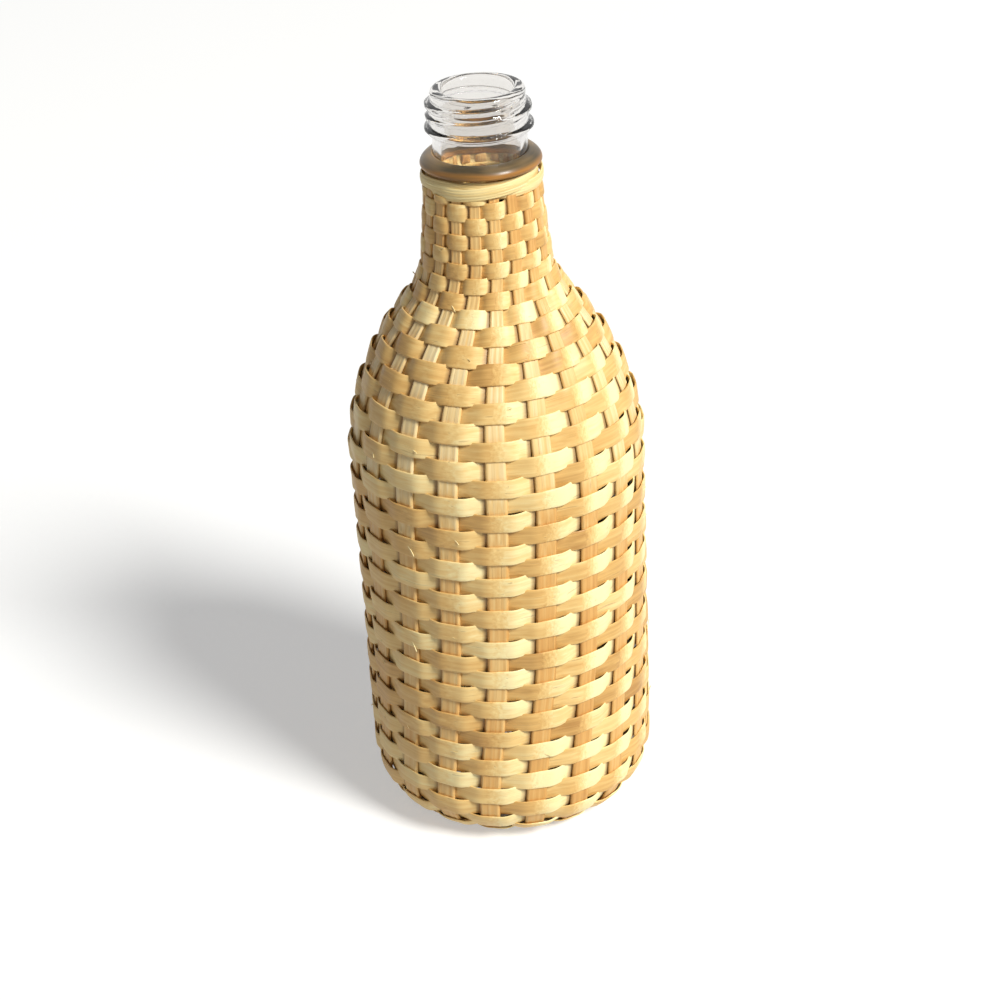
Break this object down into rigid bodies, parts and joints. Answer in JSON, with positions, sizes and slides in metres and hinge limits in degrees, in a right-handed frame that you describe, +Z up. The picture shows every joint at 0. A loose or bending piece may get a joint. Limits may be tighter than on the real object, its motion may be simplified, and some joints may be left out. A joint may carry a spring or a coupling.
{
  "type": "wicker-covered glass bottle",
  "caption": "Glass bottle with a screw-thread mouth, in a close-fitting woven straw cover with upright stakes, a twisted border and a brown cane ring round its neck.",
  "frame": {"origin": "centre of the underside, on the surface that the bottle stands on", "axes": "+Z up the bottle's axis, towards the mouth; -Y is the side that the picture shows"},
  "size_m": [0.0826, 0.0826, 0.215],
  "materials": {
    "clear_glass": "gloss",
    "straw_strip": "satin",
    "straw_stake": "satin",
    "straw_border": "satin",
    "brown_cane": "gloss"
  },
  "bodies": {
    "root": {"glass_bottle": "clear_glass", "base_hub": "straw_strip", "stake_01": "straw_stake", "stake_02": "straw_stake", "stake_03": "straw_stake", "stake_04": "straw_stake", "stake_05": "straw_stake", "stake_06": "straw_stake", "stake_07": "straw_stake", "stake_08": "straw_stake", "stake_09": "straw_stake", "stake_10": "straw_stake", "stake_11": "straw_stake", "stake_12": "straw_stake", "stake_13": "straw_stake", "stake_14": "straw_stake", "stake_15": "straw_stake", "stake_16": "straw_stake", "stake_17": "straw_stake", "stake_18": "straw_stake", "stake_19": "straw_stake", "weaver_01": "straw_strip", "weaver_02": "straw_strip", "weaver_03": "straw_strip", "weaver_04": "straw_strip", "weaver_05": "straw_strip", "weaver_06": "straw_strip", "weaver_07": "straw_strip", "weaver_08": "straw_strip", "weaver_09": "straw_strip", "weaver_10": "straw_strip", "weaver_11": "straw_strip", "weaver_12": "straw_strip", "border_strand_a": "straw_border", "border_strand_b": "straw_border", "neck_ring": "brown_cane"}
  },
  "joints": []
}
